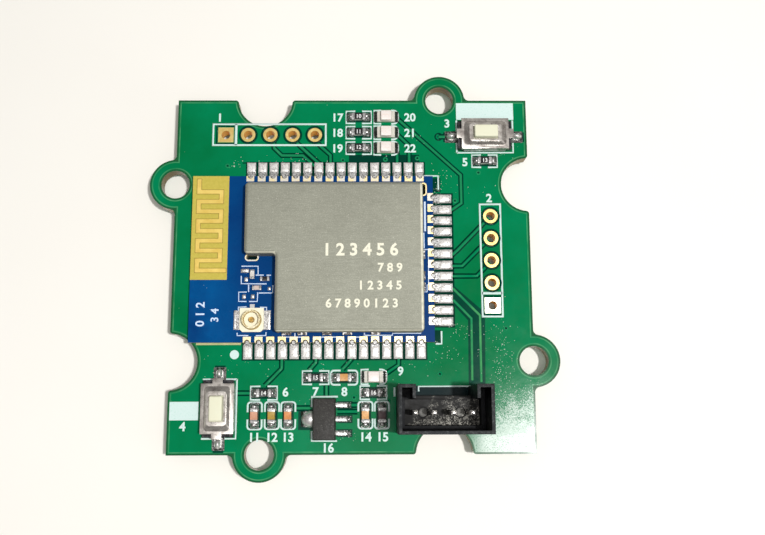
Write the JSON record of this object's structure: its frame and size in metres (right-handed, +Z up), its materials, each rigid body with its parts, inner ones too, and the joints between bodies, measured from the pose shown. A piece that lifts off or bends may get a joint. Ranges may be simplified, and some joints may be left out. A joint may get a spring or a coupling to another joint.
{
  "type": "wifi module",
  "caption": "Radio module with a shield can soldered to a square carrier board with four ears, header holes, a cable socket, press switches and a regulator.",
  "frame": {"origin": "middle of the four mounting holes, on the carrier board's underside", "axes": "+Z up through the board, +X towards the right header row, +Y towards the far header row"},
  "size_m": [0.0458, 0.0458, 0.0108],
  "materials": {
    "carrier_mask": "glossy green solder mask",
    "bare_copper_gold": "thin gold plating on copper",
    "tin": "dull tin plating",
    "solder": "bright solder, slightly uneven",
    "module_mask": "glossy blue solder mask",
    "can_metal": "brushed nickel silver sheet with fine scratches",
    "coax_plastic": "cream moulded plastic",
    "coax_metal": "gold plated collar and pin",
    "chip_black": "black moulding compound",
    "crystal_metal": "satin metal lid",
    "coil_grey": "dark grey ferrite",
    "ceramic_tan": "tan ceramic with tinned ends",
    "ceramic_grey": "grey ceramic with tinned ends",
    "resistor_black": "black glass film on white ceramic with tinned ends",
    "filter_white": "white ceramic",
    "switch_plastic": "black moulded plastic",
    "cover_metal": "pressed steel sheet, satin",
    "button_plastic": "cream moulded plastic",
    "spring_steel": "spring steel",
    "socket_plastic": "black moulded plastic with traces of flux on its floor",
    "light_plate": "pale laminate with tinned ends",
    "light_lens": "cloudy clear resin"
  },
  "bodies": {
    "carrier": {"aerial_trace": "bare_copper_gold", "band_filter": "filter_white", "carrier_board": "carrier_mask", "carrier_lands": "tin", "carrier_solder": "solder", "coax_insulator": "coax_plastic", "coax_pin": "coax_metal", "coax_shell": "coax_metal", "east_header_rings": "bare_copper_gold", "input_capacitor_large": "ceramic_tan", "input_capacitor_small": "ceramic_tan", "led_resistor_lower": "resistor_black", "led_resistor_middle": "resistor_black", "led_resistor_upper": "resistor_black", "main_crystal": "crystal_metal", "matching_capacitor": "ceramic_tan", "matching_inductor": "ceramic_grey", "matching_resistor": "resistor_black", "memory_chip": "chip_black", "mode_resistor": "resistor_black", "module_board": "module_mask", "module_bypass_capacitor": "ceramic_tan", "module_bypass_capacitors": "ceramic_tan", "module_contacts": "bare_copper_gold", "module_solder": "solder", "north_header_rings": "bare_copper_gold", "output_capacitor_large": "ceramic_tan", "output_capacitor_small": "ceramic_tan", "power_inductors": "coil_grey", "power_led_lens": "light_lens", "power_led_plate": "light_plate", "power_led_resistor": "resistor_black", "radio_chip": "chip_black", "regulator_body": "chip_black", "regulator_leads": "tin", "reset_capacitor": "ceramic_tan", "reset_pullup_resistor": "resistor_black", "reset_switch_base": "switch_plastic", "reset_switch_cover": "cover_metal", "reset_switch_dome": "spring_steel", "reset_switch_terminals": "tin", "rim_chips": "ceramic_tan", "shield_can": "can_metal", "slow_crystal": "crystal_metal", "socket_housing": "socket_plastic", "socket_pins": "tin", "status_led_lower_lens": "light_lens", "status_led_lower_plate": "light_plate", "status_led_middle_lens": "light_lens", "status_led_middle_plate": "light_plate", "status_led_upper_lens": "light_lens", "status_led_upper_plate": "light_plate", "wake_pullup_resistor": "resistor_black", "wake_switch_base": "switch_plastic", "wake_switch_cover": "cover_metal", "wake_switch_dome": "spring_steel", "wake_switch_terminals": "tin"},
    "wake_button": {"wake_switch_button": "button_plastic"},
    "reset_button": {"reset_switch_button": "button_plastic"}
  },
  "joints": [
    {"name": "wake_button_press", "type": "slide", "parent": "carrier", "child": "wake_button", "axis": [0, 0, -1], "range_m": [0, 0.00025], "stiffness_N_per_m": 2500, "springref_m": -0.0003, "deforming": ["wake_switch_dome"]},
    {"name": "reset_button_press", "type": "slide", "parent": "carrier", "child": "reset_button", "axis": [0, 0, -1], "range_m": [0, 0.00025], "stiffness_N_per_m": 2500, "springref_m": -0.0003, "deforming": ["reset_switch_dome"]}
  ]
}
